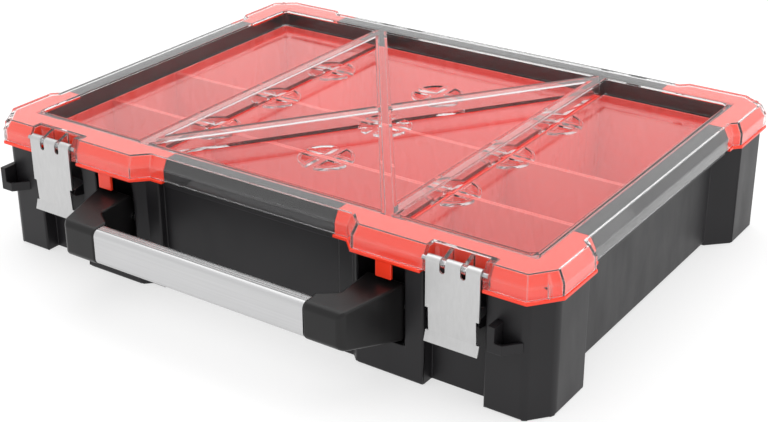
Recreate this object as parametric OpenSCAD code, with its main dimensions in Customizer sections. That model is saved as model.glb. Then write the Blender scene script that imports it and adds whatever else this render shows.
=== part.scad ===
// Parts storage case: black moulded base, clear ribbed lid, red corner trims, nine lift-out bins,
// two sheet-metal latches and an aluminium carry handle on two pivoting arms.
// Frame: origin on the surface the case rests on, under the centre of the body.
// X runs along the front, Y from the front (handle) to the back (hinges), Z is up.

/* [Case] */
// Width over the corner trims
case_w = 483; // [460:1:500]
// Depth over the corner trims, without the handle and the hinges
case_d = 364; // [350:1:375]
// Height of the closed case
case_h = 104; // [98:1:112]
// Wall thickness of the base moulding
base_wall = 3; // [2.5:0.5:3.5]
// Thickness of the floor of the base
floor_t = 4; // [3:0.5:6]
// Width and height of the slope round the underside
foot_slope = 3; // [2:0.5:4]

/* [Plan outline] */
// Cut at the front plan corners of the rim, measured along the front
front_cut_x = 15.5; // [13:0.5:18]
// Cut at the front plan corners of the rim, measured along the side
front_cut_y = 20; // [17:0.5:23]
// Cut at the rear plan corners of the rim, measured along the rear
rear_cut_x = 19.5; // [17:0.5:22]
// Cut at the rear plan corners of the rim, measured along the side
rear_cut_y = 14; // [12:0.5:17]
// Length of the thick end of the front edge, from the side of the case
front_end = 155.5; // [150:0.5:158]
// Set-back of the middle of the front edge
front_step = 10.5; // [9:0.5:11]
// Length of the thick end of the side edges, from the front or rear of the case
side_end = 68; // [64:1:72]
// Set-back of the middle of the side edges
side_step = 5; // [4:0.5:6]
// Length of the thick end of the rear edge, from the side of the case
rear_end = 76.5; // [72:0.5:80]
// Set-back of the middle of the rear edge
rear_step = 6; // [5.5:0.5:6.5]

/* [Lid] */
// Thickness of the clear lid
lid_wall = 2.2; // [2:0.1:2.4]
// Height of the lid's skirt, from the top of the lid
skirt_h = 17; // [15:0.5:18]
// Width of the slope round the top of the lid
bevel_w = 4; // [3:0.5:6]
// Height of the slope round the top of the lid
bevel_h = 7.5; // [6:0.5:9]
// Width of the lid's border at the sides of its sunk window
side_border = 26.5; // [26:0.5:30]
// Width of the lid's border at the front and rear of its sunk window
front_border = 30; // [30:0.5:34]
// Leg of the cut at the corners of the window
window_cut = 4; // [2:1:8]
// How far the panels of the window lie below the top
pocket_h = 13; // [11:0.5:14]
// Width of the ribs between the panels
rib_w = 10; // [9:0.5:12]
// Radius of the quarter-round bosses that press into the bins' corners
boss_r = 21; // [18:1:23]
// Depth of the bosses below the panels
boss_h = 2.5; // [2:0.5:4]
// Width of the cross between the four quarters of a boss
boss_cross = 7; // [6:0.5:9]

/* [Corner trims] */
// Thickness of the red trims
trim_t = 2; // [1.6:0.1:2.4]
// Height of the proud lip at the foot of a trim
lip_h = 2.2; // [1.8:0.1:2.5]
// Length of a front trim along the front edge, from the side of the case
trim_front_len = 166.5; // [160:0.5:170]
// Length of a rear trim along the rear edge, from the side of the case
trim_rear_len = 83.5; // [80:0.5:88]
// Length of the trims along the side edges, from the front or rear of the case
trim_side_len = 74; // [70:1:80]
// Middle of the tongue over a handle arm, inside the outer face of the arm
tongue_in = 12; // [10:1:14]
// Width of the tongue
tongue_w = 12; // [10:1:15]
// Length of the tongue below its lip
tongue_len = 11.8; // [10:0.2:13]

/* [Base] */
// How far the lower body lies inside the rim at the sides
body_side_in = 4; // [3.5:0.5:8]
// How far the lower body lies inside the rim at the front and rear
body_front_in = 5; // [4.5:0.5:7]
// Cut at the front plan corners of the lower body, measured along the front
body_front_cut_x = 13.5; // [11:0.5:16]
// Cut at the front plan corners of the lower body, measured along the side
body_front_cut_y = 16.5; // [14:0.5:19]
// Cut at the rear plan corners of the lower body, measured along the rear
body_rear_cut_x = 15.5; // [13:0.5:18]
// Cut at the rear plan corners of the lower body, measured along the side
body_rear_cut_y = 7.5; // [6:0.5:10]
// Width of the shoulder beside the sunk label panel, with its slope
shoulder_w = 18; // [15:0.5:20]
// Set-back of the shoulders beside the label panel
shoulder_set = 6; // [4:0.5:7]
// Set-back of the label panel
panel_set = 12; // [10:0.5:13]
// Depth of the sunk side walls between the columns
side_set = 16.5; // [14:0.5:17]
// Length of a front column along the side
front_column = 61; // [56:1:64]
// Length of a rear column along the side
rear_column = 52; // [48:1:58]
// Depth of the recess behind a latch
latch_set = 11; // [9:0.5:12]
// Room beside a latch in its recess, on the handle's side
recess_play_in = 5; // [4:0.5:7]
// Room beside a latch in its recess, on the corner's side
recess_play_out = 0.5; // [0.5:0.1:2]
// Depth of the shelf across a front column, below the top of the lid
lug_drop = 55; // [52:0.5:58]
// Thickness of the shelf
lug_t = 7; // [5:0.5:9]
// How far the shelf stands out in front of the column
lug_out = 11; // [10:0.5:13]
// Height of the upright at the left end of the shelf
lug_hook = 11; // [8:0.5:13]
// Length of the front of the shelf, from its left end to its slanted part
lug_flat = 10.5; // [9:0.5:12]

/* [Bins] */
// Wall thickness of the bins
bin_wall = 1.6; // [1.2:0.1:2]
// Gap round each bin
bin_gap = 0.4; // [0.3:0.1:0.8]
// Height of the small lip round the top of a bin
bin_lip = 3; // [2:0.5:5]

/* [Latches] */
// Distance of the middle of a latch from the side of the case
latch_end = 66.7; // [64:0.1:69]
// Width of a latch
latch_w = 39.5; // [36:0.5:41]
// Sheet thickness of a latch
latch_t = 1.5; // [1.2:0.1:1.8]
// Depth of the latch pin below the top of the lid
latch_pin_drop = 8; // [7:0.5:9]
// Radius of the latch pin
latch_pin_r = 1.6; // [1.4:0.1:1.8]
// Depth of the foot of a latch below the top of the lid
latch_drop = 64.5; // [62:0.5:67]
// Height of the flared foot
latch_foot_h = 7.5; // [6:0.5:9]
// Height of the narrower waist above the foot
latch_waist_h = 16.5; // [15:0.5:18]
// Distance of the two slots from the middle of a latch
latch_slot_x = 7.5; // [7:0.5:8]
// Width of a slot
latch_slot_w = 3.8; // [3.4:0.2:4.4]
// Depth of the lower end of the slots below the top of the lid
latch_slot_drop = 14; // [13:0.5:16]

/* [Handle] */
// Height of the handle's pivot axis above the surface
pivot_z = 51.5; // [50:0.5:54]
// Distance of the pivot axis behind the front of the case
pivot_in = 12; // [11.5:0.5:12.5]
// Radius of the hub of a handle arm
hub_r = 11.4; // [9:0.2:11.4]
// Height of a handle arm above the pivot axis at the face of the case
arm_up = 18; // [16:0.5:20]
// Height of a handle arm below the pivot axis at the face of the case
arm_down = 24.5; // [22:0.5:25]
// Radius of the pivot pin
pivot_r = 3; // [2.5:0.5:4]
// Distance of the end of the grip from the side of the case
grip_end = 150.5; // [148:0.5:153]
// Inner face of a handle arm, from the end of the grip
arm_in_step = 13.5; // [12:0.5:16]
// Outer face of a handle arm at the grip, from the end of the grip
arm_tip_step = 30.5; // [28:0.5:33]
// Outer face of a handle arm at the case, from the end of the grip
arm_out_step = 43; // [38:0.5:43]
// Room inside a handle arm in the slot that it swings in
slot_play = 5; // [3:0.5:6]
// Lower end of the slot
slot_low = 25; // [24:0.5:26]
// Thickness of the grip, front to back
grip_t = 14; // [12:0.5:16]
// Height of the grip
grip_h = 26.5; // [24:0.5:28]
// Distance of the front of the grip in front of the case
grip_reach = 44; // [42:0.5:48]

/* [Hinges] */
// Distance of a hinge from the side of the case
hinge_end = 131.5; // [110:0.5:150]
// Distance of the hinge axis inside the rear of the case
hinge_in = 1; // [0:0.5:1]
// Height of the hinge axis below the top of the lid
hinge_drop = 16; // [16:0.5:17]
// Outer radius of the hinge knuckles
knuckle_r = 4.6; // [4.2:0.1:4.8]
// Radius of the hinge pin
hinge_pin_r = 1.5; // [1.4:0.1:2]

/* [Hidden] */

$fn = 48;
black = [0.13, 0.13, 0.14];
clear = [0.86, 0.90, 0.91, 0.45];
red = [0.93, 0.22, 0.17];
bin_red = [0.88, 0.27, 0.24];
steel = [0.75, 0.75, 0.77];
silver = [0.80, 0.80, 0.81];

slack = 0.1;        // between pieces of one body that lie side by side
run_fit = 0.06;     // radial clearance of a pin in the piece that turns on it
press_fit = 0.02;   // radial clearance of a pin in the piece that holds it
cut_over = 1;       // how far a cutting shape passes the face it cuts
knee = tan(22.5);   // shift of a 45-degree corner per unit of inset
root2 = sqrt(2);
lip_gap = 0.3;      // between the lid's skirt and the trims' lips
bay_gap = 0.6;      // between the lid's latch recesses and the trims
half_gap = 0.5;     // side play of a piece that turns between two others

half_w = case_w / 2;
half_d = case_d / 2;
front_mid_x = half_w - front_end;
rear_mid_x = half_w - rear_end;
side_mid_y = half_d - side_end;

top_z = case_h;
skirt_z = top_z - skirt_h;
lip_z = skirt_z - lip_gap - lip_h;
lid_in = 0.8;                        // the lid's skirt lies this far inside the trims' lips
lid_gap = 0.6;                       // between the lid's skirt and what it covers
lid_top_gap = 0.4;                   // between the lid's top and what it covers
cover_in = lid_in + lid_wall + lid_gap;
cover_z = top_z - lid_wall - lid_top_gap;
rim_in = cover_in + trim_t + slack;
rim_z = cover_z - trim_t;

window_w = case_w - 2 * side_border;
window_d = case_d - 2 * front_border;
panel_top = top_z - pocket_h;
panel_low = panel_top - lid_wall;
cell_w = window_w / 4;
cell_d = window_d / 4;
rib_x = cell_w;
rib_angle = atan2(window_d, 2 * rib_x);
rib_len = norm([window_d, 2 * rib_x]) + 2 * rib_w;

pocket_gap = 0.8;                    // between the lid's sunk window and the base
tub_x = window_w / 2 + lid_wall + pocket_gap;
tub_y = window_d / 2 + lid_wall + pocket_gap;
lead_in_w = 3.6;                     // slope that lets the window swing out past the rear rim
lead_in_h = 10;
bin_top = panel_low - lid_gap;

body_x = half_w - body_side_in;
body_y = half_d - body_front_in;
side_front_y = -half_d + front_column;
side_rear_y = half_d - rear_column;
trim_front_x = half_w - trim_front_len;
trim_rear_x = half_w - trim_rear_len;
trim_side_y = half_d - trim_side_len;

latch_x = half_w - latch_end;
latch_pin_z = top_z - latch_pin_drop;
curl_gap = 0.3;
curl_r = latch_pin_r + latch_t + curl_gap;
latch_pin_y = half_d - 2;
latch_face = latch_pin_y + curl_r;
latch_foot_z = top_z - latch_drop;
latch_crease_z = latch_foot_z + latch_foot_h;
latch_narrow_z = latch_crease_z + latch_waist_h;
slot_low_z = top_z - latch_slot_drop;
latch_flare = 1.5;                          // how far the foot of a latch stands out
latch_dent = 0.8;                           // how far the waist leans in down to the foot
latch_nip = 2.2;                            // narrowing of a latch on each side
hook_z = latch_crease_z + latch_t;          // fold of the latch that faces the catch
hook_y = -latch_face + latch_dent + latch_t / 2;
hook_len = 1.5 * latch_t;
hook_in = 8;                                // ends of the fold, from the sides of the latch
catch_z = latch_crease_z + 7;               // foot of the catch nose
catch_h = 11;
catch_back = 0.5;                           // tip of the nose behind the latch's axis
catch_tip = latch_pin_y - catch_back;
cheek_t = 3.5;                              // walls round the lid's latch recesses
bay_in = latch_x - latch_w / 2 - half_gap;  // lid recess: inner and outer side
bay_out = latch_x + latch_w / 2 + half_gap;
bay_y = half_d - latch_set;                 // lid recess: back face
bay_trim = cheek_t + bay_gap;               // how far the trims stay off the lid recess
bay_rim = bay_trim + trim_t + slack;        // how far the base's rim stays off it
recess_in = latch_x - latch_w / 2 - recess_play_in;
recess_out = latch_x + latch_w / 2 + recess_play_out;

pivot_y = half_d - pivot_in;
grip_x = half_w - grip_end;
grip_front = half_d + grip_reach;
arm_in = grip_x + arm_in_step;
arm_tip = grip_x + arm_tip_step;
arm_out = grip_x + arm_out_step;
arm_over = 0.5;                      // how far an arm stands out round the end of the grip
arm_knee = 9;                        // slanted inner corner of an arm behind the grip
arm_soft = 3;                        // cut edges at the front of an arm
slot_in = arm_in - slot_play;
slot_out = arm_out + 1.2;
cheek_in = 2.5;                      // walls on both sides of the slot
cheek_out = 4;
bay_x = slot_in - cheek_in;          // front bay that holds the panel and its shoulders
panel_x = bay_x - shoulder_w;
pin_seat = 2;                        // how far a pivot pin enters the inner cheek
tongue_x = arm_out - tongue_in;
tongue_z = lip_z - tongue_len;       // foot of the tongue, just above the arm
tongue_t = 3;
tongue_set = 0.6;                    // face of the tongue behind the lip above it
grip_mid_z = pivot_z + 0.8;
grip_wall = 2.4;
grip_round = 5;
spigot_len = 16;
groove_pitch = 2.2;                  // of the three fine grooves along the top of the grip
groove_r = 0.5;

lug_z = top_z - lug_drop;
lug_nose_right = body_x - 24;        // corner between the front of the shelf and its slanted part
lug_nose_left = -body_x + 21.5;
lug_run = 23;                        // width and depth of the slanted part, up to inside the column
lug_rise = 27.6;
lug_back = 12;                       // depth of the left end, up to inside the column
lug_hook_t = 5;                      // thickness of the upright
lug_rim = 2.2;                       // wall in front of the groove along its top
lug_groove = 5;                      // depth of the groove

hinge_x = half_w - hinge_end;
hinge_y = half_d - hinge_in;
hinge_z = top_z - hinge_drop;
ear_h = 16;                          // height of the base's hinge ears below the axis
knuckle_in = 8.5;                    // half length of the lid's knuckle
knuckle_out = 18.5;                  // half length of the whole hinge

// ---------------------------------------------------------------- helpers

module both_sides() {
    children();
    mirror([1, 0, 0]) children();
}

// Extrudes a Y-Z profile along X from x0 to x1
module along_x(x0, x1) {
    translate([x0, 0, 0]) rotate([90, 0, 90]) linear_extrude(height = x1 - x0) children();
}

// Cylinder along X from x0 to x1 with its axis at y, z
module rod_x(r, x0, x1, y, z) {
    translate([x0, y, z]) rotate([0, 90, 0]) cylinder(r = r, h = x1 - x0);
}

// Extrudes a plan shape from z0 up to z1
module slab(z0, z1) {
    translate([0, 0, z0]) linear_extrude(height = z1 - z0) children();
}

module box(x, y, z) {
    translate([x[0], y[0], z[0]]) cube([x[1] - x[0], y[1] - y[0], z[1] - z[0]]);
}

// Shift of the end of a corner cut along its side a, per unit of inset
function turn(a, b) = (norm([a, b]) - a) / b;

// Corner p between a and b, moved into the angle by e from both sides
function moved_in(p, a, b, e) =
    let (u = (a - p) / norm(a - p), v = (b - p) / norm(b - p))
    p + (u + v) * e / abs(cross(u, v));

// Right half of the rim's outline, from the rear middle to the front middle, inset by o
function half_outline(o) = [
    [rear_mid_x + knee * o, half_d - rear_step - o],
    [rear_mid_x + rear_step + knee * o, half_d - o],
    [half_w - rear_cut_x - turn(rear_cut_x, rear_cut_y) * o, half_d - o],
    [half_w - o, half_d - rear_cut_y - turn(rear_cut_y, rear_cut_x) * o],
    [half_w - o, side_mid_y + side_step + knee * o],
    [half_w - side_step - o, side_mid_y + knee * o],
    [half_w - side_step - o, -side_mid_y - knee * o],
    [half_w - o, -side_mid_y - side_step - knee * o],
    [half_w - o, -half_d + front_cut_y + turn(front_cut_y, front_cut_x) * o],
    [half_w - front_cut_x - turn(front_cut_x, front_cut_y) * o, -half_d + o],
    [front_mid_x + front_step + knee * o, -half_d + o],
    [front_mid_x + knee * o, -half_d + front_step + o]
];

function mirrored(points) = [
    for (i = [len(points) - 1 : -1 : 0]) [-points[i].x, points[i].y]
];

function outline(o) = concat(half_outline(o), mirrored(half_outline(o)));

// Endless bar with sloped top edges, from a to b across the plan direction at this angle
module bar(angle, a, b, z0, z1) {
    rotate([0, 0, angle]) rotate([90, 0, 0]) linear_extrude(height = 4 * half_w, center = true)
        polygon([
            [a, z0], [b, z0], [b, z1 - bevel_h],
            [b - bevel_w, z1], [a + bevel_w, z1], [a, z1 - bevel_h]
        ]);
}

// Solid rim with a sloped top edge: the outline inset by o, from z0 up to z1
module rim_block(o, z0, z1) {
    far = 2 * half_w;
    front_cut = (front_cut_y * (half_w - front_cut_x) + front_cut_x * half_d)
        / norm([front_cut_x, front_cut_y]) - o;
    rear_cut = (rear_cut_y * (half_w - rear_cut_x) + rear_cut_x * half_d)
        / norm([rear_cut_x, rear_cut_y]) - o;
    side = (half_w - side_mid_y - side_step) / root2 - o;
    front = (front_mid_x + front_step - half_d) / root2 + o;
    rear = (rear_mid_x + rear_step - half_d) / root2 + o;
    intersection() {
        bar(0, -half_w + side_step + o, half_w - side_step - o, z0, z1);
        bar(90, -half_d + front_step + o, half_d - rear_step - o, z0, z1);
    }
    both_sides() {
        intersection() {
            box([0, far], [-far, 0], [z0, z1]);
            bar(0, -far, half_w - o, z0, z1);
            bar(90, -half_d + o, far, z0, z1);
            bar(45, front, side, z0, z1);
            bar(-atan2(front_cut_x, front_cut_y), -far, front_cut, z0, z1);
        }
        intersection() {
            box([0, far], [0, far], [z0, z1]);
            bar(0, -far, half_w - o, z0, z1);
            bar(90, -far, half_d - o, z0, z1);
            bar(-45, rear, side, z0, z1);
            bar(atan2(rear_cut_x, rear_cut_y), -far, rear_cut, z0, z1);
        }
    }
}

// Slope on the inner rear edge of the rim, clear of the lid's window as the lid swings up
module rear_lead_in() {
    along_x(-tub_x, tub_x) polygon([
        [tub_y - cut_over, cover_z - lead_in_h],
        [tub_y, cover_z - lead_in_h],
        [tub_y + lead_in_w, cover_z],
        [tub_y + lead_in_w, cover_z + cut_over],
        [tub_y - cut_over, cover_z + cut_over]
    ]);
}

// Space of a latch in the front rim, grown by g
module latch_bay(g, z0, z1) {
    both_sides() box([bay_in - g, bay_out + g], [-half_d - cut_over, -bay_y + g], [z0, z1]);
}

// ---------------------------------------------------------------- base

// Plan of the lower body, inset by e
module body_plan(e) {
    x = body_x - e;
    y = body_y - e;
    front_x = body_x - body_front_cut_x - turn(body_front_cut_x, body_front_cut_y) * e;
    front_y = body_y - body_front_cut_y - turn(body_front_cut_y, body_front_cut_x) * e;
    rear_x = body_x - body_rear_cut_x - turn(body_rear_cut_x, body_rear_cut_y) * e;
    rear_y = body_y - body_rear_cut_y - turn(body_rear_cut_y, body_rear_cut_x) * e;
    far = 2 * half_w;
    difference() {
        polygon([
            [rear_x, y], [x, rear_y], [x, -front_y], [front_x, -y],
            [-front_x, -y], [-x, -front_y], [-x, rear_y], [-rear_x, y]
        ]);
        both_sides() body_side_bay(e, far);
        both_sides() translate([recess_in - e, -far])
            square([recess_out - recess_in + 2 * e, far - body_y + latch_set + e]);
        polygon([
            [-bay_x - root2 * e, -far], [bay_x + root2 * e, -far], [bay_x + root2 * e, -body_y],
            [bay_x - shoulder_set + knee * e, -body_y + shoulder_set + e],
            [-bay_x + shoulder_set - knee * e, -body_y + shoulder_set + e],
            [-bay_x - root2 * e, -body_y]
        ]);
        translate([-panel_x - e, -far]) square([2 * (panel_x + e), far - body_y + panel_set + e]);
        translate([-rear_mid_x - e, body_y - rear_step - e]) square([2 * (rear_mid_x + e), far]);
    }
}

// Sunk side wall between the columns, with sloped ends
module body_side_bay(e, far) {
    polygon([
        [far, side_front_y - root2 * e], [body_x, side_front_y - root2 * e],
        [body_x - side_set - e, side_front_y + side_set - knee * e],
        [body_x - side_set - e, side_rear_y - side_set + knee * e],
        [body_x, side_rear_y + root2 * e], [far, side_rear_y + root2 * e]
    ]);
}

module body_skin() {
    difference() {
        linear_extrude(height = lip_z) body_plan(0);
        translate([0, 0, -cut_over]) linear_extrude(height = lip_z - base_wall + cut_over)
            body_plan(base_wall);
    }
}

// Black rim: low under the trims, full height in the middle of each edge
module body_rim() {
    mid_over = 2 * half_w;
    difference() {
        union() {
            rim_block(rim_in, lip_z - base_wall, rim_z);
            intersection() {
                rim_block(cover_in, lip_z - base_wall, cover_z);
                union() {
                    box([-trim_front_x, trim_front_x], [-mid_over, 0], [0, top_z]);
                    box([-trim_rear_x, trim_rear_x], [0, mid_over], [0, top_z]);
                    box([-mid_over, mid_over], [-trim_side_y, trim_side_y], [0, top_z]);
                }
            }
        }
        difference() {
            translate([0, 0, lip_z - base_wall - cut_over])
                linear_extrude(height = rim_z - bevel_h + base_wall - lip_z + cut_over)
                    polygon(outline(rim_in + base_wall));
            latch_bay(bay_rim + base_wall, 0, top_z);
        }
        latch_bay(bay_rim, 0, top_z);
    }
}

// Walls and floor round the bins
module body_tub() {
    box([-tub_x - base_wall, tub_x + base_wall], [-tub_y - base_wall, tub_y + base_wall],
        [0, rim_z]);
}

// Slope along the underside of the side walls
module foot_cuts() {
    x = tub_x + base_wall;
    both_sides() translate([0, side_rear_y - side_set, 0]) rotate([90, 0, 0])
        linear_extrude(height = side_rear_y - side_front_y - 2 * side_set) polygon([
            [x - foot_slope, 0], [x - foot_slope - cut_over, -cut_over],
            [x + cut_over, -cut_over], [x + cut_over, foot_slope + cut_over], [x, foot_slope]
        ]);
}

module tub_space() {
    box([-tub_x, tub_x], [-tub_y, tub_y], [floor_t, top_z + cut_over]);
}

// Walls round the slot that a handle arm swings in
module arm_housing() {
    box([bay_x, slot_out + cheek_out], [-body_y, -tub_y - cut_over],
        [slot_low - base_wall, lip_z - base_wall / 2]);
}

module arm_slot() {
    box([slot_in, slot_out], [-body_y - cut_over, -tub_y - base_wall],
        [slot_low, lip_z - base_wall]);
}

// Bore of a pivot pin, open to the latch recess
module pivot_bore() {
    rod_x(pivot_r + press_fit, slot_in - pin_seat, recess_in + cut_over, -pivot_y, pivot_z);
}

// Nose in the latch recess that the latch's hook faces
module latch_catch() {
    wall_y = -body_y + latch_set + cut_over;
    mid_y = -catch_tip + 2;
    along_x(bay_in + base_wall, bay_out - base_wall) polygon([
        [wall_y, catch_z], [mid_y, catch_z + 0.2 * catch_h], [-catch_tip, catch_z + 0.4 * catch_h],
        [mid_y, catch_z + 0.7 * catch_h], [wall_y, catch_z + catch_h]
    ]);
}

module base_knuckles() {
    half = (knuckle_out - knuckle_in - half_gap) / 2;
    for (side = [-1, 1]) {
        x = hinge_x + side * (knuckle_out - half);
        rod_x(knuckle_r, x - half, x + half, hinge_y, hinge_z);
        box([x - half, x + half], [hinge_y - knuckle_r, hinge_y + knuckle_r],
            [hinge_z - ear_h, hinge_z]);
        box([x - half, x + half], [body_y - rear_step - base_wall, hinge_y],
            [hinge_z - ear_h, lip_z]);
    }
}

module base_shell() {
    color(black) difference() {
        union() {
            body_skin();
            body_rim();
            body_tub();
            both_sides() {
                arm_housing();
                latch_catch();
                base_knuckles();
            }
        }
        tub_space();
        rear_lead_in();
        foot_cuts();
        both_sides() {
            arm_slot();
            pivot_bore();
            rod_x(hinge_pin_r + press_fit, hinge_x - knuckle_out - cut_over,
                hinge_x + knuckle_out + cut_over, hinge_y, hinge_z);
        }
    }
}

// Shelf across a front column, grooved along its top, with an upright at its left end
module corner_lug(nose_x) {
    face = -body_y - lug_out;
    nose = [nose_x, face];
    start = [nose_x - lug_flat, face];
    root = [start.x, -body_y + lug_back];
    end = nose + [lug_run, lug_rise];
    hook_x = start.x + lug_hook_t;
    top = lug_z + lug_t;
    color(black) difference() {
        union() {
            difference() {
                slab(lug_z, top) polygon([root, start, nose, end]);
                slab(top - lug_groove, top + cut_over) polygon([
                    [hook_x, root.y], [hook_x, face + lug_rim],
                    moved_in(nose, start, end, lug_rim), moved_in(end, nose, root, lug_rim)
                ]);
            }
            slab(lug_z, top + lug_hook)
                polygon([root, start, [hook_x, face], [hook_x, root.y]]);
        }
        slab(0, lip_z) body_plan(-slack);
    }
}

module corner_lug_right() { corner_lug(lug_nose_right); }
module corner_lug_left() { corner_lug(lug_nose_left); }

// ---------------------------------------------------------------- corner trims

// Whole ring of trim; the four trims are cut from it
module trim_ring() {
    difference() {
        union() {
            rim_block(cover_in, lip_z, cover_z);
            translate([0, 0, lip_z]) linear_extrude(height = lip_h) polygon(outline(0));
        }
        difference() {
            translate([0, 0, -trim_t]) rim_block(cover_in + trim_t, lip_z - cut_over, cover_z);
            latch_bay(bay_trim + trim_t, 0, top_z);
        }
        latch_bay(bay_trim, lip_z + lip_h, top_z);
        both_sides() box([recess_in, recess_out], [-half_d - cut_over, -bay_y + bay_trim],
            [0, lip_z + lip_h]);
        box([-tub_x, tub_x], [-tub_y, tub_y], [0, top_z]);
        rear_lead_in();
    }
}

// Tongue that hangs over the handle arm
module trim_tongue() {
    box([tongue_x - tongue_w / 2, tongue_x + tongue_w / 2],
        [-half_d + tongue_set, -half_d + tongue_t], [tongue_z, lip_z + lip_h]);
}

module trim_front() {
    color(red) {
        intersection() {
            trim_ring();
            box([trim_front_x + slack, case_w], [-case_d, -trim_side_y - slack], [0, top_z]);
        }
        trim_tongue();
    }
}

module trim_rear() {
    color(red) intersection() {
        trim_ring();
        difference() {
            box([0, case_w], [trim_side_y + slack, case_d], [0, top_z]);
            box([-1, trim_rear_x + slack], [0, case_d], [0, top_z]);
        }
    }
}

module trim_front_right() { trim_front(); }
module trim_front_left() { mirror([1, 0, 0]) trim_front(); }
module trim_rear_right() { trim_rear(); }
module trim_rear_left() { mirror([1, 0, 0]) trim_rear(); }

// ---------------------------------------------------------------- lid

// Sunk panels of the window, grown by g
module window_plan(g) {
    x = window_w / 2 + g;
    y = window_d / 2 + g;
    c = window_cut + knee * g;
    w = rib_w - 2 * g;
    difference() {
        polygon([
            [x - c, y], [x, y - c], [x, -y + c], [x - c, -y],
            [-x + c, -y], [-x, -y + c], [-x, y - c], [-x + c, y]
        ]);
        both_sides() {
            translate([rib_x, 0]) square([w, 3 * y], center = true);
            intersection() {
                rotate(rib_angle) square([rib_len, w], center = true);
                square([2 * rib_x, 3 * y], center = true);
            }
        }
    }
}

// Four quarters of a boss of radius r, with a cross of width c between them
module boss_plan(r, c) {
    difference() {
        circle(r = r);
        square([c, 3 * r], center = true);
        square([3 * r, c], center = true);
    }
}

// Plan of every boss of the lid
module bosses_plan(r, c) {
    for (i = [-1 : 1], j = [-1 : 1]) translate([i * cell_w, j * cell_d]) boss_plan(r, c);
}

module boss_cups() {
    translate([0, 0, panel_low - boss_h]) linear_extrude(height = boss_h + lid_wall / 2)
        intersection() {
            bosses_plan(boss_r, boss_cross);
            window_plan(lid_wall);
        }
}

module boss_wells() {
    translate([0, 0, panel_low - boss_h + lid_wall]) linear_extrude(height = boss_h + lid_wall)
        intersection() {
            bosses_plan(boss_r - lid_wall, boss_cross + 2 * lid_wall);
            window_plan(0);
        }
}

module lid_shell() {
    difference() {
        rim_block(lid_in, skirt_z, top_z);
        difference() {
            translate([0, 0, -lid_wall])
                rim_block(lid_in + lid_wall, skirt_z - cut_over, top_z);
            latch_bay(cheek_t, 0, top_z);
        }
        latch_bay(0, 0, top_z + cut_over);
    }
}

// Fins in the latch recess that carry the pin between the latch's fingers
module pin_fins() {
    for (side = [-1, 1]) {
        x = latch_x + side * latch_slot_x;
        half = latch_slot_w / 2 - half_gap;
        rod_x(curl_r, x - half, x + half, -latch_pin_y, latch_pin_z);
        along_x(x - half, x + half) polygon([
            [-latch_pin_y, latch_pin_z - curl_r], [-bay_y + lid_wall, latch_pin_z - curl_r],
            [-bay_y + lid_wall, top_z - lid_wall / 2], [-bay_y, top_z - lid_wall / 2],
            [-latch_pin_y, latch_pin_z + curl_r]
        ]);
    }
}

module lid_knuckles() {
    rod_x(knuckle_r, hinge_x - knuckle_in, hinge_x + knuckle_in, hinge_y, hinge_z);
    box([hinge_x - knuckle_in, hinge_x + knuckle_in],
        [half_d - rear_step - lid_in - lid_wall / 2, hinge_y], [skirt_z, hinge_z + knuckle_r]);
}

module lid() {
    color(clear) difference() {
        union() {
            lid_shell();
            translate([0, 0, panel_low]) linear_extrude(height = pocket_h + lid_wall / 2)
                window_plan(lid_wall);
            boss_cups();
            both_sides() {
                pin_fins();
                lid_knuckles();
            }
        }
        translate([0, 0, panel_top]) linear_extrude(height = pocket_h + cut_over) window_plan(0);
        boss_wells();
        both_sides() {
            rod_x(latch_pin_r + press_fit, bay_in - cheek_t, bay_out + cheek_t,
                -latch_pin_y, latch_pin_z);
            rod_x(hinge_pin_r + run_fit, hinge_x - knuckle_in - cut_over,
                hinge_x + knuckle_in + cut_over, hinge_y, hinge_z);
        }
    }
}

module hinge_pin() {
    color(steel) rod_x(hinge_pin_r, hinge_x - knuckle_out, hinge_x + knuckle_out,
        hinge_y, hinge_z);
}

module hinge_pin_right() { hinge_pin(); }
module hinge_pin_left() { mirror([1, 0, 0]) hinge_pin(); }

// ---------------------------------------------------------------- latches

// Folded sheet below the curl, seen from the side
module latch_profile(z0, z1) {
    intersection() {
        polygon([
            [-latch_face, latch_pin_z], [-latch_face, latch_narrow_z],
            [-latch_face + latch_dent, latch_crease_z],
            [-latch_face - latch_flare, latch_foot_z],
            [-latch_face - latch_flare + latch_t, latch_foot_z],
            [-latch_face + latch_dent + latch_t, latch_crease_z],
            [-latch_face + latch_t, latch_narrow_z], [-latch_face + latch_t, latch_pin_z]
        ]);
        translate([-latch_face - 2 * latch_flare, z0])
            square([2 * (latch_flare + latch_t), z1 - z0]);
    }
}

module latch() {
    x0 = latch_x - latch_w / 2;
    x1 = latch_x + latch_w / 2;
    color(steel) difference() {
        union() {
            rod_x(curl_r, x0, x1, -latch_pin_y, latch_pin_z);
            along_x(x0, x1) latch_profile(latch_narrow_z, latch_pin_z);
            along_x(x0 + latch_nip, x1 - latch_nip)
                latch_profile(latch_crease_z, latch_narrow_z);
            along_x(x0, x1) latch_profile(0, latch_crease_z);
            box([x0 + hook_in, x1 - hook_in], [hook_y, hook_y + hook_len],
                [hook_z, hook_z + latch_t]);
        }
        rod_x(latch_pin_r + run_fit, x0 - cut_over, x1 + cut_over, -latch_pin_y, latch_pin_z);
        for (side = [-1, 1]) {
            x = latch_x + side * latch_slot_x;
            box([x - latch_slot_w / 2, x + latch_slot_w / 2], [-latch_face - cut_over, -bay_y],
                [slot_low_z + latch_slot_w / 2, top_z]);
            translate([x, -latch_face - cut_over, slot_low_z + latch_slot_w / 2])
                rotate([-90, 0, 0]) cylinder(r = latch_slot_w / 2, h = latch_t + 2 * cut_over);
        }
    }
}

module latch_pin() {
    color(steel) rod_x(latch_pin_r, bay_in - cheek_t + slack, bay_out + cheek_t - slack,
        -latch_pin_y, latch_pin_z);
}

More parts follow.
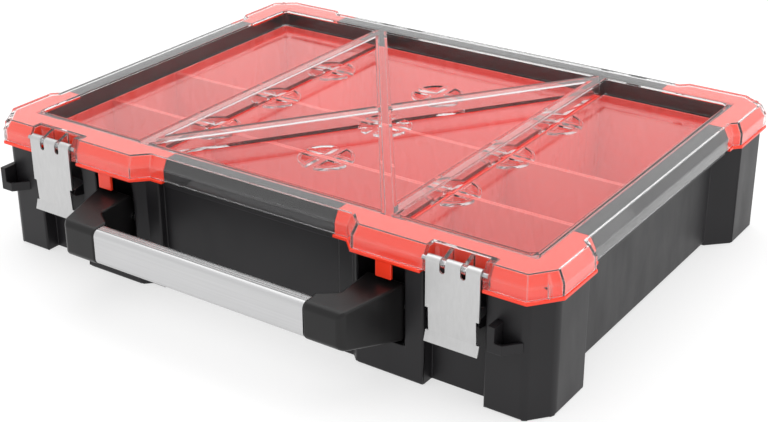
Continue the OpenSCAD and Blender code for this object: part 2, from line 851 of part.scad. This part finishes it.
module latch_right() { latch(); }
module latch_left() { mirror([1, 0, 0]) latch(); }
module latch_pin_right() { latch_pin(); }
module latch_pin_left() { mirror([1, 0, 0]) latch_pin(); }

// ---------------------------------------------------------------- handle

module rounded_rect(w, h, r) {
    square([w - 2 * r, h], center = true);
    square([w, h - 2 * r], center = true);
    for (i = [-1, 1], j = [-1, 1]) translate([i * (w / 2 - r), j * (h / 2 - r)]) circle(r = r);
}

// Section of the grip with three fine grooves along its top
module grip_section() {
    difference() {
        rounded_rect(grip_t, grip_h, grip_round);
        rounded_rect(grip_t - 2 * grip_wall, grip_h - 2 * grip_wall, grip_round - grip_wall);
        for (i = [-1 : 1]) translate([groove_pitch * i - groove_pitch / 4, grip_h / 2])
            circle(r = groove_r);
    }
}

module at_grip() {
    translate([-grip_front + grip_t / 2, grip_mid_z]) children();
}

module handle_grip() {
    color(silver) along_x(-grip_x, grip_x) at_grip() grip_section();
}

// Arm seen from the side: round hub, tapering to the grip
module arm_side() {
    tip_top = grip_mid_z + grip_h / 2 + arm_over;
    tip_low = grip_mid_z - grip_h / 2 - arm_over;
    tip_y = grip_front + arm_over;
    neck_y = (pivot_y + body_y) / 2;
    translate([-pivot_y, pivot_z]) circle(r = hub_r);
    polygon([
        [-pivot_y, pivot_z + hub_r], [-neck_y, pivot_z + arm_up],
        [-tip_y + arm_soft, tip_top], [-tip_y, tip_top - arm_soft],
        [-tip_y, tip_low + arm_soft], [-tip_y + arm_soft, tip_low],
        [-neck_y, pivot_z - arm_down], [-pivot_y, pivot_z - hub_r]
    ]);
}

// Arm seen from above
module arm_plan() {
    tip_y = grip_front + arm_over;
    polygon([
        [arm_out, -tub_y], [arm_out, -body_y], [arm_tip, -tip_y + arm_soft],
        [arm_tip - arm_soft, -tip_y], [grip_x + slack, -tip_y],
        [grip_x + slack, -grip_front + grip_t],
        [arm_in, -grip_front + grip_t + arm_knee], [arm_in, -tub_y]
    ]);
}

module handle_arm() {
    color(black) difference() {
        union() {
            intersection() {
                along_x(0, case_w) arm_side();
                linear_extrude(height = case_h) arm_plan();
            }
            along_x(grip_x - spigot_len, grip_x + cut_over) at_grip()
                rounded_rect(grip_t - 2 * grip_wall - 2 * slack, grip_h - 2 * grip_wall - 2 * slack,
                    grip_round - grip_wall - slack);
        }
        rod_x(pivot_r + run_fit, arm_in - cut_over, arm_out + cut_over, -pivot_y, pivot_z);
    }
}

module handle_pivot() {
    color(steel) rod_x(pivot_r, slot_in - pin_seat + slack, recess_in - slack,
        -pivot_y, pivot_z);
}

module handle_arm_right() { handle_arm(); }
module handle_arm_left() { mirror([1, 0, 0]) handle_arm(); }
module handle_pivot_right() { handle_pivot(); }
module handle_pivot_left() { mirror([1, 0, 0]) handle_pivot(); }

// ---------------------------------------------------------------- bins

// Bin that fills the cells from column c0 to c1 and from row r0 to r1, counted from the front left
module bin(c0, c1, r0, r1) {
    x0 = -window_w / 2 + c0 * cell_w + bin_gap;
    x1 = -window_w / 2 + c1 * cell_w - bin_gap;
    y0 = -window_d / 2 + r0 * cell_d + bin_gap;
    y1 = -window_d / 2 + r1 * cell_d - bin_gap;
    color(bin_red) difference() {
        union() {
            box([x0 + slack, x1 - slack], [y0 + slack, y1 - slack], [floor_t, bin_top]);
            box([x0, x1], [y0, y1], [bin_top - bin_lip, bin_top]);
        }
        box([x0 + bin_wall, x1 - bin_wall], [y0 + bin_wall, y1 - bin_wall],
            [floor_t + bin_wall, bin_top + cut_over]);
    }
}

module bin_front_left() { bin(0, 1, 0, 1); }
module bin_front_centre() { bin(1, 3, 0, 1); }
module bin_front_right() { bin(3, 4, 0, 1); }
module bin_middle_left() { bin(0, 1, 1, 2); }
module bin_middle_centre() { bin(1, 3, 1, 2); }
module bin_middle_right() { bin(3, 4, 1, 2); }
module bin_rear_left() { bin(0, 1, 2, 4); }
module bin_rear_centre() { bin(1, 3, 2, 4); }
module bin_rear_right() { bin(3, 4, 2, 4); }

// ---------------------------------------------------------------- parts

base_shell();
corner_lug_left();
corner_lug_right();
trim_front_left();
trim_front_right();
trim_rear_left();
trim_rear_right();
lid();
hinge_pin_left();
hinge_pin_right();
latch_left();
latch_right();
latch_pin_left();
latch_pin_right();
handle_grip();
handle_arm_left();
handle_arm_right();
handle_pivot_left();
handle_pivot_right();
bin_front_left();
bin_front_centre();
bin_front_right();
bin_middle_left();
bin_middle_centre();
bin_middle_right();
bin_rear_left();
bin_rear_centre();
bin_rear_right();
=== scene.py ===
"""Look of the parts storage case.

Black moulded base, clear lid, red trims and bins, metal latches and grip.
"""

import math

import bmesh
import bpy
from mathutils import Matrix, Vector


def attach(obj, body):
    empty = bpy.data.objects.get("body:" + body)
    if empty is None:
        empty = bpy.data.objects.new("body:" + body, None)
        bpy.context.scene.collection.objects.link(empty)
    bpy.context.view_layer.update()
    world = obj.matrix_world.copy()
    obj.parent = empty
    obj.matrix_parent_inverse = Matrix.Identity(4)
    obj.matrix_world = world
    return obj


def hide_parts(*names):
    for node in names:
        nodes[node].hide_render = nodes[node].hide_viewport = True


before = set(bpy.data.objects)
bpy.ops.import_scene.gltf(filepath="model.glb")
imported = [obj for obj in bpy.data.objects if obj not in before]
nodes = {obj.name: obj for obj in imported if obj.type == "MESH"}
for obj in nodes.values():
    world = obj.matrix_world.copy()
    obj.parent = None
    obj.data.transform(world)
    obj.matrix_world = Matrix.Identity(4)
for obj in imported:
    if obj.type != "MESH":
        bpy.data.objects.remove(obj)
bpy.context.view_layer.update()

MM = 0.001                # metres in a millimetre
SAME_POINT = 0.002 * MM   # points nearer than this are one
FLAT_ANGLE = 0.3          # degrees; flatter joints of faces are dissolved
WIDE_ANGLE = 20           # least turn of an edge that a wide rounding takes
NARROW_ANGLE = 27         # least turn of an edge that the last rounding takes
SMOOTH_ANGLE = 30         # faces that turn less are shaded as one
MADE_SMOOTH_ANGLE = 65    # the same, for the faces of a rounding
LEVEL = 0.01 * MM         # slack for an upright or level edge
SIDES = ("left", "right")


# ---------------------------------------------------------------- materials


class Graph:
    """Small helper to build a node material."""

    def __init__(self, name):
        self.mat = bpy.data.materials.new(name)
        self.mat.use_nodes = True
        self.tree = self.mat.node_tree
        self.tree.nodes.clear()
        self.out = self.add("ShaderNodeOutputMaterial")

    def add(self, kind, **values):
        node = self.tree.nodes.new(kind)
        for key, value in values.items():
            setattr(node, key, value)
        return node

    def link(self, a, b):
        self.tree.links.new(a, b)

    def place(self, scale=(1, 1, 1)):
        """Object coordinates in metres, stretched by scale."""
        coord = self.add("ShaderNodeTexCoord")
        mapping = self.add("ShaderNodeMapping")
        mapping.inputs["Scale"].default_value = scale
        self.link(coord.outputs["Object"], mapping.inputs["Vector"])
        return mapping.outputs["Vector"]

    def noise(self, vector, scale, detail=3.0, rough=0.55):
        node = self.add("ShaderNodeTexNoise")
        node.inputs["Scale"].default_value = scale
        node.inputs["Detail"].default_value = detail
        node.inputs["Roughness"].default_value = rough
        self.link(vector, node.inputs["Vector"])
        return node.outputs["Fac"]

    def ramp(self, value, low, high, a, b):
        """Maps value from low..high to a..b."""
        node = self.add("ShaderNodeMapRange")
        for key, number in (("From Min", low), ("From Max", high), ("To Min", a), ("To Max", b)):
            node.inputs[key].default_value = number
        self.link(value, node.inputs["Value"])
        return node.outputs["Result"]

    def tint(self, value, dark, light):
        """Colour between dark and light, by value from 0 to 1."""
        node = self.add("ShaderNodeMix", data_type="RGBA")
        node.inputs["A"].default_value = (*dark, 1)
        node.inputs["B"].default_value = (*light, 1)
        self.link(value, node.inputs["Factor"])
        return node.outputs["Result"]

    def bump(self, height, strength, distance):
        node = self.add("ShaderNodeBump")
        node.inputs["Strength"].default_value = strength
        node.inputs["Distance"].default_value = distance
        self.link(height, node.inputs["Height"])
        return node.outputs["Normal"]

    def principled(self, **values):
        node = self.add("ShaderNodeBsdfPrincipled")
        for key, value in values.items():
            node.inputs[key.replace("_", " ")].default_value = value
        return node


def moulded(name, dark, light, rough, grain, depth, specular=0.5):
    """Moulded plastic: slow colour change, fine grain in the surface and uneven gloss."""
    g = Graph(name)
    place = g.place()
    slow = g.noise(place, 14.0, 2.0)
    fine = g.noise(place, grain, 2.0)
    smear = g.noise(g.place((1, 1, 0.35)), 60.0, 4.0)
    shader = g.principled(Metallic=0.0, IOR=1.5)
    shader.inputs["Specular IOR Level"].default_value = specular
    g.link(g.tint(g.ramp(slow, 0.3, 0.7, 0, 1), dark, light), shader.inputs["Base Color"])
    g.link(g.ramp(smear, 0.3, 0.7, *rough), shader.inputs["Roughness"])
    g.link(g.bump(fine, depth, 0.00008), shader.inputs["Normal"])
    g.link(shader.outputs["BSDF"], g.out.inputs["Surface"])
    return g.mat


def metal(name, dark, light, rough, stretch, scale, depth):
    """Satin metal with fine streaks along the stretched direction."""
    g = Graph(name)
    streak = g.noise(g.place(stretch), scale, 4.0, 0.6)
    cloud = g.noise(g.place(), 25.0, 3.0)
    shader = g.principled(Metallic=1.0)
    g.link(g.tint(g.ramp(streak, 0.25, 0.75, 0, 1), dark, light), shader.inputs["Base Color"])
    g.link(g.ramp(cloud, 0.3, 0.7, *rough), shader.inputs["Roughness"])
    g.link(g.bump(streak, depth, 0.00005), shader.inputs["Normal"])
    g.link(shader.outputs["BSDF"], g.out.inputs["Surface"])
    return g.mat


def clear_plastic(name, clearness, tone, rough):
    """Clear styrene: refracts for the eye, lets the light through and holds a little milky haze."""
    g = Graph(name)
    ripple = g.noise(g.place(), 45.0, 2.0)
    fine = g.noise(g.place(), 420.0, 2.0)
    shader = g.principled(Metallic=0.0, IOR=1.36)
    shader.inputs["Base Color"].default_value = (tone, tone, tone, 1)
    shader.inputs["Transmission Weight"].default_value = clearness
    g.link(g.ramp(fine, 0.3, 0.7, *rough), shader.inputs["Roughness"])
    g.link(g.bump(ripple, 0.2, 0.0002), shader.inputs["Normal"])
    through = g.add("ShaderNodeBsdfTransparent")
    path = g.add("ShaderNodeLightPath")
    lit = g.add("ShaderNodeMath", operation="MAXIMUM")
    g.link(path.outputs["Is Shadow Ray"], lit.inputs[0])
    g.link(path.outputs["Is Diffuse Ray"], lit.inputs[1])
    mix = g.add("ShaderNodeMixShader")
    g.link(lit.outputs["Value"], mix.inputs["Fac"])
    g.link(shader.outputs["BSDF"], mix.inputs[1])
    g.link(through.outputs["BSDF"], mix.inputs[2])
    g.link(mix.outputs["Shader"], g.out.inputs["Surface"])
    return g.mat


base_black = moulded("base_black", (0.0080, 0.0073, 0.0086), (0.0120, 0.0111, 0.0127),
                     rough=(0.36, 0.46), grain=900.0, depth=0.2, specular=0.33)
arm_black = moulded("arm_black", (0.005, 0.0045, 0.0048), (0.008, 0.0073, 0.0077),
                    rough=(0.28, 0.40), grain=700.0, depth=0.4, specular=0.34)
trim_red = moulded("trim_red", (0.94, 0.041, 0.013), (0.97, 0.049, 0.017),
                   rough=(0.14, 0.22), grain=300.0, depth=0.15)
bin_red = moulded("bin_red", (0.93, 0.085, 0.064), (0.97, 0.100, 0.076),
                  rough=(0.22, 0.34), grain=260.0, depth=0.2)
latch_steel = metal("latch_steel", (0.54, 0.54, 0.54), (0.59, 0.59, 0.59),
                    rough=(0.34, 0.44), stretch=(1, 1, 0.25), scale=500.0, depth=0.15)
pin_steel = metal("pin_steel", (0.40, 0.40, 0.41), (0.50, 0.50, 0.51),
                  rough=(0.25, 0.35), stretch=(0.1, 1, 1), scale=900.0, depth=0.4)
grip_aluminium = metal("grip_aluminium", (0.54, 0.54, 0.545), (0.60, 0.60, 0.605),
                       rough=(0.30, 0.38), stretch=(0.01, 1, 1), scale=700.0, depth=0.1)
# Darker metal for the grip's grooves: painted shade, where the grooves lie in shadow.
painted_groove_shade = metal("painted_groove_shade", (0.34, 0.34, 0.34), (0.40, 0.40, 0.40),
                     rough=(0.45, 0.55), stretch=(0.01, 1, 1), scale=700.0, depth=0.1)
lid_clear = clear_plastic("lid_clear", clearness=0.988, tone=0.955, rough=(0.01, 0.035))
# Milkier, rougher clear plastic for the lid's rounded edges: a painted highlight that draws each
# edge as a light line.
lid_edge_highlight = clear_plastic("lid_edge_highlight", clearness=0.88, tone=0.88, rough=(0.10, 0.20))


# ---------------------------------------------------------------- pieces


def paint(obj, *materials):
    """Gives the object these materials and no others."""
    obj.data.materials.clear()
    for material in materials:
        obj.data.materials.append(material)


def round_edges(bm, made, chosen, width, segments):
    """Rounds the chosen edges and marks the new faces."""
    result = bmesh.ops.bevel(bm, geom=chosen, offset=width * MM, offset_type="OFFSET",
                             segments=segments, profile=0.5, affect="EDGES",
                             clamp_overlap=False, miter_outer="ARC", miter_inner="SHARP")
    for face in result["faces"]:
        face[made] = 1


def turned(edge, angle):
    """True where two faces meet at more than the angle, in degrees."""
    return len(edge.link_faces) == 2 and edge.calc_face_angle(0) > math.radians(angle)


def shade(mesh, made):
    """Keeps flat faces flat and curved ones smooth; a rounded edge runs from face to face."""
    at = [[] for _ in mesh.vertices]
    for face in mesh.polygons:
        for vertex in face.vertices:
            at[vertex].append(face.index)
    normal = [face.normal.copy() for face in mesh.polygons]
    area = [face.area for face in mesh.polygons]
    result = [None] * len(mesh.loops)
    for face in mesh.polygons:
        limit = math.cos(math.radians(MADE_SMOOTH_ANGLE if made[face.index] else SMOOTH_ANGLE))
        own = normal[face.index]
        for loop, vertex in zip(face.loop_indices, face.vertices):
            near = [i for i in at[vertex] if normal[i].dot(own) > limit]
            pool = [i for i in near if not made[i]] or near or [face.index]
            total = Vector((0, 0, 0))
            for i in pool:
                total += normal[i] * area[i]
            result[loop] = total.normalized() if total.length > 0 else own
    mesh.normals_split_custom_set(result)


def dressed(node, body, materials, width, segments=2, first=()):
    """Copy of a CAD node with its edges rounded, which then stands for the node.

    first holds (test of an edge, width, segments) for the wider roundings, made before the rest.
    The last rounding leaves out the edges between faces that they made, which would tear.
    A second material goes onto the rounded edges; the lid's is a painted highlight that draws them
    as light lines.
    """
    mesh = nodes[node].data.copy()
    mesh.name = node + "_mesh"
    piece = bpy.data.objects.new(node + "_form", mesh)
    bpy.context.scene.collection.objects.link(piece)
    bm = bmesh.new()
    bm.from_mesh(mesh)
    bmesh.ops.remove_doubles(bm, verts=bm.verts, dist=SAME_POINT)
    bmesh.ops.dissolve_limit(bm, angle_limit=math.radians(FLAT_ANGLE), verts=bm.verts,
                             edges=bm.edges, delimit=set())
    bmesh.ops.connect_verts_concave(bm, faces=bm.faces)
    made = bm.faces.layers.int.new("made")
    for test, wide, steps in first:
        bm.normal_update()
        chosen = [e for e in bm.edges if turned(e, WIDE_ANGLE) and test(e)]
        round_edges(bm, made, chosen, wide, steps)
    bm.normal_update()
    chosen = [e for e in bm.edges
              if turned(e, NARROW_ANGLE) and not all(f[made] for f in e.link_faces)]
    round_edges(bm, made, chosen, width, segments)
    bmesh.ops.triangulate(bm, faces=[f for f in bm.faces if len(f.verts) > 4])
    for face in bm.faces:
        face.smooth = True
    flags = [face[made] for face in bm.faces]
    bm.faces.layers.int.remove(made)
    bm.to_mesh(mesh)
    bm.free()
    shade(mesh, flags)
    paint(piece, *materials)
    if len(materials) > 1:
        for face, flag in zip(mesh.polygons, flags):
            face.material_index = flag
    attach(piece, body)
    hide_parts(node)
    return piece


def paint_groove_shade(grip):
    """Paints shade into the fine grooves along the top of the grip, as a darker metal."""
    groove_depth = (0.03 * MM, 0.6 * MM)
    groove_band = (3.7 * MM, 9.2 * MM)
    grip.data.materials.append(painted_groove_shade)
    top = max(vertex.co.z for vertex in grip.data.vertices)
    front = min(vertex.co.y for vertex in grip.data.vertices)
    for face in grip.data.polygons:
        depth = top - face.center.z
        behind = face.center.y - front
        if groove_depth[0] < depth < groove_depth[1] and groove_band[0] < behind < groove_band[1]:
            face.material_index = 1


def upright(edge):
    """Outer edge that runs straight up."""
    a, b = (v.co for v in edge.verts)
    return math.hypot(a.x - b.x, a.y - b.y) < LEVEL and edge.is_convex


def column_corner(edge):
    """Upright edges at the cut corners of the base."""
    place = edge.verts[0].co
    return upright(edge) and abs(place.x) > 218 * MM and abs(place.y) > 155 * MM


def front_corner(edge):
    """Upright edges of the steps along the front of the base."""
    place = edge.verts[0].co
    return upright(edge) and edge.calc_length() > 20 * MM and place.y < -160 * MM


def foot_edge(edge):
    """Outer edges of the underside, without the inner ones of the same wall."""
    a, b = (v.co for v in edge.verts)
    outer = all(abs(v.x) > 237.2 * MM or abs(v.y) > 176.7 * MM for v in (a, b))
    return max(a.z, b.z) < LEVEL and edge.is_convex and outer


dressed("base_shell", "case", [base_black], 0.6, 2,
        first=[(column_corner, 3.5, 5), (front_corner, 1.6, 3), (foot_edge, 1.6, 3)])
for side in SIDES:
    dressed(f"corner_lug_{side}", "case", [base_black], 0.5)
for end in ("front", "rear"):
    for side in SIDES:
        dressed(f"trim_{end}_{side}", "case", [trim_red], 0.45)
# the lid's rounded edges take the painted-highlight material
dressed("lid", "lid", [lid_clear, lid_edge_highlight], 0.22)
for side in SIDES:
    dressed(f"latch_{side}", f"latch_{side}", [latch_steel], 0.25)
    dressed(f"handle_arm_{side}", "handle", [arm_black], 1.9, 4)
    for pin in ("hinge_pin", "latch_pin", "handle_pivot"):
        paint(nodes[f"{pin}_{side}"], pin_steel)
grip = dressed("handle_grip", "handle", [grip_aluminium], 0.12)
# painted shade in the grip's grooves
paint_groove_shade(grip)
for row in ("front", "middle", "rear"):
    for column in ("left", "centre", "right"):
        dressed(f"bin_{row}_{column}", "case", [bin_red], 0.4)


# ---------------------------------------------------------------- stage, light and camera


def make_floor():
    """Pale floor that keeps the shadow."""
    size = 12.0
    level = -0.0004
    corners = [(-size, -size), (size, -size), (size, size), (-size, size)]
    mesh = bpy.data.meshes.new("floor")
    mesh.from_pydata([(x, y, level) for x, y in corners], [], [(0, 1, 2, 3)])
    floor = bpy.data.objects.new("floor", mesh)
    bpy.context.scene.collection.objects.link(floor)
    g = Graph("floor")
    diffuse = g.add("ShaderNodeBsdfDiffuse")
    diffuse.inputs["Color"].default_value = (0.42, 0.42, 0.42, 1)
    glow = g.add("ShaderNodeEmission")
    glow.inputs["Strength"].default_value = 0.62
    both = g.add("ShaderNodeAddShader")
    g.link(diffuse.outputs["BSDF"], both.inputs[0])
    g.link(glow.outputs["Emission"], both.inputs[1])
    g.link(both.outputs["Shader"], g.out.inputs["Surface"])
    paint(floor, g.mat)


def make_world():
    """Soft white room, a little brighter where the eye, a mirror or clear plastic sees it."""
    world = bpy.data.worlds.new("studio")
    bpy.context.scene.world = world
    world.use_nodes = True
    tree = world.node_tree
    tree.nodes.clear()
    out = tree.nodes.new("ShaderNodeOutputWorld")
    soft, white = (tree.nodes.new("ShaderNodeBackground") for _ in range(2))
    for node, strength in ((soft, 0.95), (white, 1.0)):
        node.inputs["Color"].default_value = (1, 1, 1, 1)
        node.inputs["Strength"].default_value = strength
    path = tree.nodes.new("ShaderNodeLightPath")
    seen = path.outputs["Is Camera Ray"]
    for kind in ("Is Glossy Ray", "Is Transmission Ray"):
        either = tree.nodes.new("ShaderNodeMath")
        either.operation = "MAXIMUM"
        tree.links.new(seen, either.inputs[0])
        tree.links.new(path.outputs[kind], either.inputs[1])
        seen = either.outputs["Value"]
    mix = tree.nodes.new("ShaderNodeMixShader")
    tree.links.new(seen, mix.inputs["Fac"])
    tree.links.new(soft.outputs["Background"], mix.inputs[1])
    tree.links.new(white.outputs["Background"], mix.inputs[2])
    tree.links.new(mix.outputs["Shader"], out.inputs["Surface"])


def lamp(name, place, target, width, height, power):
    """Soft area light aimed at the target; metres and watts."""
    light = bpy.data.lights.new(name, "AREA")
    light.shape = "RECTANGLE"
    light.size = width
    light.size_y = height
    light.energy = power
    obj = bpy.data.objects.new(name, light)
    obj.location = place
    aim = Vector(target) - Vector(place)
    obj.rotation_euler = aim.to_track_quat("-Z", "Y").to_euler()
    bpy.context.scene.collection.objects.link(obj)


def make_camera():
    """The photo's camera, solved from the corners of the lid's window and the ribs."""
    data = bpy.data.cameras.new("camera")
    data.sensor_width = 36.0
    data.sensor_fit = "HORIZONTAL"
    data.lens = 67.53
    data.shift_x = 0.0208
    data.shift_y = -0.0404
    data.clip_start = 0.01
    camera = bpy.data.objects.new("camera", data)
    right = Vector((0.82057682, 0.57148145, -0.0079141))
    up = Vector((-0.22867642, 0.34097854, 0.91183372))
    back = Vector((0.52379459, -0.74641985, 0.41048342))
    turn = Matrix((right, up, back)).transposed().to_4x4()
    camera.matrix_world = Matrix.Translation((0.580637, -0.850420, 0.506463)) @ turn
    bpy.context.scene.collection.objects.link(camera)
    bpy.context.scene.camera = camera


make_floor()
make_world()
lamp("top", (-0.3, 0.4, 1.6), target=(0, 0, 0), width=2.0, height=1.6, power=11)
lamp("right", (1.7, 0.7, 0.8), target=(0.1, 0, 0.05), width=2.2, height=1.6, power=6)
make_camera()
bpy.context.scene.view_settings.view_transform = "Standard"
